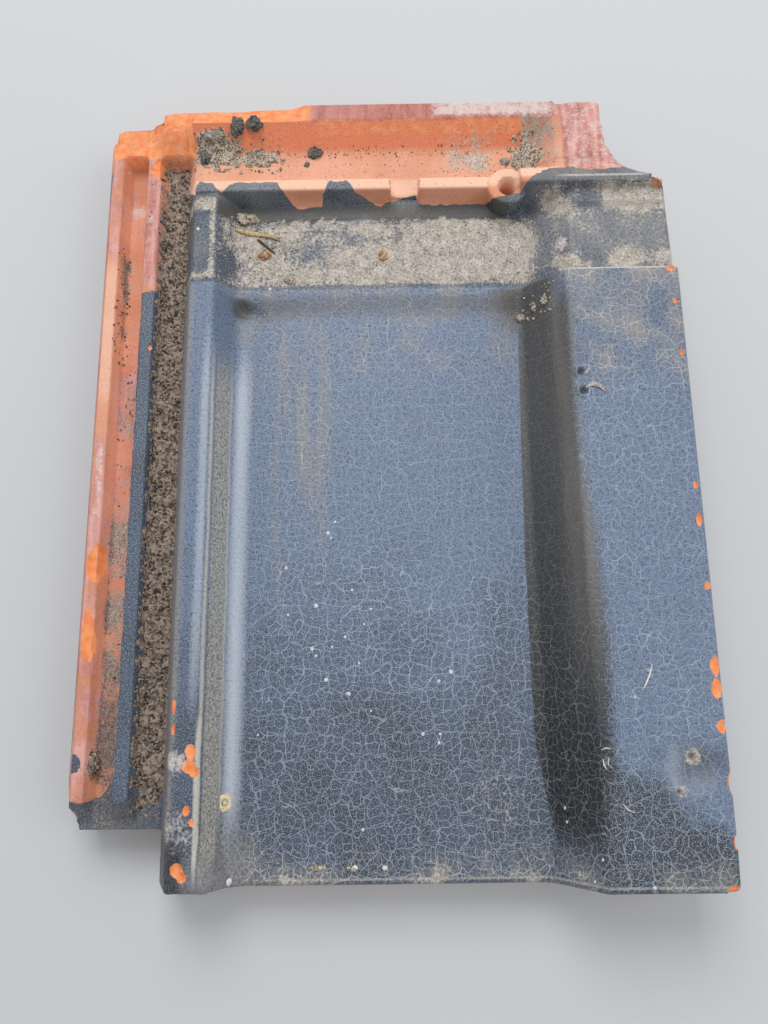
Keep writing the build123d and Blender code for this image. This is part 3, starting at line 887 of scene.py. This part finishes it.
# %% Laying crusts of soil
def crust(name, low, high, pitch, depth, material, thickness=0.7):
    """A closed sheet of soil over a rectangle, in mm. Where depth(x, y) runs out, it is bare."""
    pitch *= 1
    wide, long = high[0] - low[0], high[1] - low[1]
    middle = ((low[0] + high[0]) / 2, (low[1] + high[1]) / 2, 0)
    shape = bmesh.new()
    bmesh.ops.create_grid(
        shape, x_segments=round(wide / pitch), y_segments=round(long / pitch), size=0.5)
    bmesh.ops.scale(shape, verts=shape.verts, vec=(wide, long, 1))
    bmesh.ops.translate(shape, verts=shape.verts, vec=middle)
    bare, bare_depth = [], -0.25
    for point in shape.verts:
        place, _ = above(point.co.x, point.co.y)
        soil_depth = depth(point.co.x, point.co.y)
        if place is None or soil_depth < bare_depth:
            bare.append(point)
        else:
            point.co = (point.co.x * MM, point.co.y * MM, place.z + soil_depth * MM)
    bmesh.ops.delete(shape, geom=bare, context="VERTS")
    loose = [point for point in shape.verts if not point.link_faces]
    bmesh.ops.delete(shape, geom=loose, context="VERTS")
    thicken(shape, thickness)
    finish_piece(name, shape, material)


def rough(x, y, size):
    """Uneven ground: noise about -1 to 1 with lumps of a size in mm."""
    return noise.fractal(Vector((x, y, 0)) / size, 0.6, 2.2, 4)


def mound(x, y, middle, radii):
    """A low heap: 1 in its middle, falling below nought outside its two radii."""
    return 1 - math.hypot((x - middle[0]) / radii[0], (y - middle[1]) / radii[1])


channel_middle, channel_reach = -97.8, 7.2


def channel_depth(x, y):
    """Soil between the second rib and the body: deep in the middle, thin towards the ends."""
    across = 1 - abs(x - channel_middle) / channel_reach
    along = rise(y, -150, -132) * (1 - 0.5 * rise(y, 100, 150))
    return 2.3 * min(1, 2.2 * across) * along + 0.8 * rough(x, y, 4) - 0.5


def trough_depth(x, y):
    """Soil heaps in the left end of the head trough."""
    heaps = max(mound(x, y, (-77, 155), (14, 9)), mound(x, y, (-57, 152.5), (11, 5)))
    return 1.9 * heaps + 0.9 * rough(x, y, 3) - 0.2


def end_depth(x, y):
    """Coarse dirt in the trough's right corner."""
    return 1.3 * mound(x, y, (70, 150), (9, 15)) + 0.9 * rough(x, y, 3) - 0.35


def lap_depth(x, y):
    """Coarse dirt on the lap, below the bar."""
    heaps = max(mound(x, y, (-52, 106), (22, 12)) * 0.7, mound(x, y, (67, 91), (12, 4)))
    return 0.6 * heaps + 0.8 * rough(x, y, 2.5) - 0.6


crust("channel_soil", (-105.2, -151), (-90.5, 152), 0.7, channel_depth, soil)
crust("trough_soil", (-91, 144), (-44, 165), 0.6, trough_depth, pale_soil)
crust("end_soil", (58, 138), (84, 165), 0.6, end_depth, pale_soil)
crust("lap_soil", (-76, 87), (82, 122), 0.7, lap_depth, pale_soil, 0.5)

# %% [markdown]
# Clods and a stone. A clod is a ball pushed in and out by noise until it is as uneven as the real
# one, then sunk a little into what it lies on.

# %% Clods and stones
def clod(name, u, v, radii, material, seed):
    """One lump at a point of the picture, sunk by a share of its height. Radii are in mm."""
    sink = 0.35
    place, _ = on_tile(u, v)
    lift = Vector((0, 0, radii[2] * (1 - 2 * sink) * MM))
    shape = bmesh.new()
    bmesh.ops.create_icosphere(shape, subdivisions=4, radius=1)
    for point in shape.verts:
        bulge = noise.fractal(point.co * 1.3 + Vector((seed, 0, 0)), 0.7, 2.2, 4)
        point.co *= 1 + 0.42 * bulge
    bmesh.ops.scale(shape, verts=shape.verts, vec=Vector(radii) * MM)
    bmesh.ops.translate(shape, verts=shape.verts, vec=place + lift)
    finish_piece(name, shape, material)


clods = [
    ("head_clod_left", 237, 128, (3, 5, 1.8), dark_soil, 1),
    ("head_clod_right", 254, 125, (3.6, 3.8, 1.8), dark_soil, 2),
    ("head_stone", 212, 136, (4.6, 2.2, 1.6), stone, 3),
    ("heap_left", 206, 158, (3, 4, 1.6), dark_soil, 9),
    ("trough_clod", 315, 154, (3.2, 2.8, 1.6), dark_soil, 4),
    ("trough_crumb", 307, 165, (1.2, 1.2, 0.8), dark_soil, 5),
    ("trough_pebble", 505, 162, (2.2, 1.6, 1.2), stone, 6),
    ("lap_clod", 248, 220, (5, 3, 1.8), pale_soil, 7),
    ("lap_crumb_left", 265, 256, (2.8, 2.2, 1.2), tan_soil, 13),
    ("lap_crumb_low", 290, 281, (2.6, 2, 1), pale_soil, 14),
    ("lap_crumb_right", 383, 256, (2, 2.4, 1), tan_soil, 15),
    ("valley_crumb_upper", 545, 300, (2, 2.4, 0.8), pale_soil, 16),
    ("valley_crumb_middle", 534, 307, (1.4, 2.4, 0.7), pale_soil, 17),
    ("valley_crumb_lower", 522, 318, (2.8, 1.8, 0.7), pale_soil, 18),
    ("flange_clod", 92, 763, (2.6, 5.4, 2), soil, 8),
    ("nose_crust", 318, 868, (3.2, 1, 0.5), pale_soil, 11),
    ("nose_crumb", 352, 869, (2, 0.9, 0.5), pale_soil, 12)]
for row in clods:
    clod(*row)
print("clods:", len(clods))

# %% [markdown]
# Grit. Countless grains lie in the dirt, and two thousand of the largest are enough to break up
# its outline. Each is the plainest ball there is, squashed and turned, and all of them are one
# mesh. A tone kept on every grain makes some dark and some pale. Each field is made apart first,
# because an operator takes longer the larger the mesh that it works in.

# %% Grit
grit_paint = Paint("grit")
grit_shade = grit_paint.mix(grit_paint.value("tone"), (48, 40, 36), (214, 202, 184))
grit_paint.finish(grit_shade, 0.9)
draw = random.Random(11)
# count, x from and to, y from and to, radius from and to, tone from and to, in mm
grit_fields = [
    (260, -102.5, -92.5, -149, 156, 0.3, 1.1, 0, 0.6),
    (420, -102.5, -92.5, -149, 156, 0.2, 0.6, 0.5, 1),
    (330, -78, 66, 87, 121, 0.22, 0.5, 0.1, 1),
    (90, -76, -44, 92, 121, 0.3, 0.7, 0.1, 0.9),
    (200, -90, -46, 144, 164, 0.25, 0.8, 0.1, 0.9),
    (300, 36, 84, 141, 164, 0.2, 0.42, 0, 0.8),
    (110, -50, 36, 140, 155, 0.2, 0.45, 0, 0.6),
    (170, -120.5, -111, -135, 60, 0.22, 0.7, 0, 0.6),
    (90, -110, -93, 90, 150, 0.25, 0.6, 0.1, 0.7),
    (130, -44, 44, 152, 157.5, 0.2, 0.6, 0, 0.5),
    (70, -123, -118.5, 50, 108, 0.3, 0.9, 0, 0.35),
    (60, -60, -48, 66, 73, 0.25, 0.6, 0.5, 1),
    (36, 63, 78, 66, 80, 0.3, 0.8, 0.6, 1),
    (50, 70, 128, 84, 92, 0.2, 0.4, 0.2, 1),
    (60, -72, 40, -173, -162, 0.2, 0.45, 0.3, 1)]
grit_shape = bmesh.new()
for count, x_low, x_high, y_low, y_high, small, large, darkest, palest in grit_fields:
    field = bmesh.new()
    tone = field.verts.layers.float.new("tone")
    for _ in range(count):
        place, normal = above(draw.uniform(x_low, x_high), draw.uniform(y_low, y_high))
        radius = small + (large - small) * draw.random() ** 2
        turn = Euler([draw.uniform(0, math.pi) for _ in range(3)]).to_matrix().to_4x4()
        squash = Matrix.Diagonal((1, draw.uniform(0.6, 1), draw.uniform(0.45, 0.8), 1))
        stand = Matrix.Translation(place + normal * 0.25 * radius * MM)
        made = bmesh.ops.create_icosphere(
            field, subdivisions=1, radius=radius * MM, matrix=stand @ turn @ squash)
        shade = draw.uniform(darkest, palest)
        for point in made["verts"]:
            point[tone] = shade
    field_mesh = bpy.data.meshes.new("grit_field")
    field.to_mesh(field_mesh)
    field.free()
    grit_shape.from_mesh(field_mesh)
    bpy.data.meshes.remove(field_mesh)
finish_piece("grit", grit_shape, grit_paint.material, smooth=False)

# %% [markdown]
# Lime. Birds and mortar left white spots, thin and domed like drying drops.

# %% Lime spots
def powder(name, size, height, contrast, dark_shade, light_shade, roughness):
    """A cloudy, powdery finish: blobs of a size and relief of a height, both in mm."""
    paint = Paint(name)
    blobs = paint.noise(size, 2)
    paint.bump(blobs, height)
    shade = paint.mix(blobs.rise(0.5 - contrast, 0.5 + contrast), dark_shade, light_shade)
    return paint.finish(shade, roughness)


chalk = powder("lime", 0.8, 0.2, 0.2, (196, 196, 190), (238, 238, 232), 0.8)
lime_spots = [
    (335, 522, 0.6), (328, 533, 0.9), (331, 538, 0.5), (286, 568, 0.7), (352, 590, 0.6), (316, 606, 1),
    (288, 615, 0.6), (371, 609, 0.6), (364, 624, 0.5), (345, 637, 0.7), (332, 647, 0.5),
    (312, 649, 0.8), (316, 656, 0.7), (326, 680, 0.9), (359, 663, 0.5), (349, 694, 0.8),
    (371, 711, 0.5), (451, 672, 1), (439, 681, 0.7), (423, 734, 0.8), (440, 734, 0.6),
    (439, 743, 0.7), (363, 830, 0.7), (258, 735, 0.5), (347, 693, 0.5), (229, 882, 1.6),
    (198, 229, 0.9), (270, 289, 0.8), (603, 860, 0.6), (565, 808, 0.7), (355, 868, 1.3),
    (385, 868, 1.1), (595, 882, 0.6), (567, 822, 0.6), (655, 888, 0.8)]
lime_shape = bmesh.new()
for u, v, radius in lime_spots:
    place, normal = on_tile(u, v)
    drop = Matrix.Diagonal((1, draw.uniform(0.8, 1), 0.35, 1))
    bmesh.ops.create_icosphere(
        lime_shape, subdivisions=2, radius=radius * MM, matrix=seat(place, normal) @ drop)
finish_piece("lime_spots", lime_shape, chalk)

# %% [markdown]
# A ring of yellow lichen sits on the left flank. It is a small circle spun about the tile's
# normal, then made uneven.

# %% Lichen ring
def ring(name, u, v, size, thickness, material):
    """A low uneven ring with a crumb inside. Its mid-line's radius and thickness are in mm."""
    place, normal = on_tile(u, v)
    shape = bmesh.new()
    bmesh.ops.create_circle(
        shape, segments=8, radius=thickness * MM,
        matrix=Matrix.Translation((size * MM, 0, 0)) @ Matrix.Rotation(math.radians(90), 4, "X"))
    bmesh.ops.spin(
        shape, geom=shape.verts[:] + shape.edges[:], cent=(0, 0, 0), axis=(0, 0, 1),
        angle=math.tau, steps=28, use_merge=True)
    bmesh.ops.create_icosphere(shape, subdivisions=2, radius=0.4 * size * MM)
    bmesh.ops.recalc_face_normals(shape, faces=shape.faces)
    for point in shape.verts:
        point.co *= 1 + 0.22 * noise.noise(point.co / (1.3 * MM))
        point.co.z *= 0.5
    bmesh.ops.transform(shape, verts=shape.verts, matrix=seat(place, normal))
    finish_piece(name, shape, material)


lichen = powder("lichen", 0.6, 0.3, 0.15, (196, 168, 118), (244, 230, 192), 0.9)
ring("lichen_ring", 225, 803, 2.5, 1.2, lichen)

# %% [markdown]
# A bit of straw and a twig lie in the lap's dust, and something hard has left chalky strokes on
# the roll. Each is a thin strip, arched across and laid along its way. So are the pale rims of
# two pits.

# %% Straw, twig, strokes and pit rims
def stalk(name, route, widths, material, thickness):
    """An arched blade along points of the picture. Widths, one for each point, are in mm."""
    places = [on_tile(u, v)[0] for u, v in route]
    across = (places[-1] - places[0]).cross(Vector((0, 0, 1))).normalized()
    shape = bmesh.new()
    bmesh.ops.create_grid(shape, x_segments=6, y_segments=len(route) - 1, size=0.5)
    for point in shape.verts:
        i = round((point.co.y + 0.5) * (len(route) - 1))
        share = 2 * point.co.x
        arch = thickness * (0.8 + 0.9 * (1 - share * share))
        point.co = places[i] + across * share * widths[i] / 2 * MM
        point.co.z = places[i].z + arch * MM
    thicken(shape, thickness)
    finish_piece(name, shape, material)


straw_paint = earth("dry_straw", (168, 136, 84), (230, 204, 150), 0.5)
twig_paint = earth("dark_twig", (58, 44, 36), (110, 86, 68), 0.5)
rim_paint = earth("pit_rim", (150, 142, 140), (228, 216, 210), 0.5)
# name, points of the picture, widths, material, thickness
stalks = [
    ("straw", [(236, 230), (243, 232), (250, 234), (258, 235), (269, 237), (280, 241)],
     [1.6, 2.4, 2.6, 2.2, 1.6, 0.6], straw_paint, 0.6),
    ("twig", [(258, 240), (264, 245), (270, 250), (275, 254)], [0.8, 1.2, 1, 0.5], twig_paint, 0.6),
    ("stroke_long", [(652, 664), (650, 674), (646, 684), (642, 691)], [0.3, 0.8, 0.7, 0.3], chalk, 0.1),
    ("stroke_low", [(601, 750), (606, 748), (611, 749)], [0.3, 0.5, 0.3], chalk, 0.1),
    ("stroke_lower", [(603, 759), (604, 765), (607, 770)], [0.3, 0.6, 0.3], chalk, 0.1),
    ("stroke_lowest", [(609, 757), (608, 764), (612, 768)], [0.3, 0.4, 0.3], chalk, 0.1),
    ("stroke_edge", [(623, 804), (628, 810), (635, 813)], [0.3, 0.5, 0.3], chalk, 0.1),
    ("pit_rim_upper", [(584, 374), (587, 372), (589, 369), (590, 365)], [0.7, 1.4, 1.3, 0.5],
     rim_paint, 0.2),
    ("pit_rim_lower", [(586, 387), (590, 384), (595, 384), (600, 386), (604, 389), (606, 393)],
     [1.6, 2.4, 2, 1.8, 1.4, 0.7], rim_paint, 0.2)]
for row in stalks:
    stalk(*row)
print("blades and strokes:", len(stalks))

# %% [markdown]
# Last, the sizes. The solid's box and the finished object's box are printed side by side.

# %% Sizes
scene.view_settings.view_transform = "Standard"
looks_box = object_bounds()
for name, box in (("solid", cad_box), ("looks", looks_box)):
    print(name, "in mm:", [round(float(v) / MM, 1) for corner in box for v in corner])
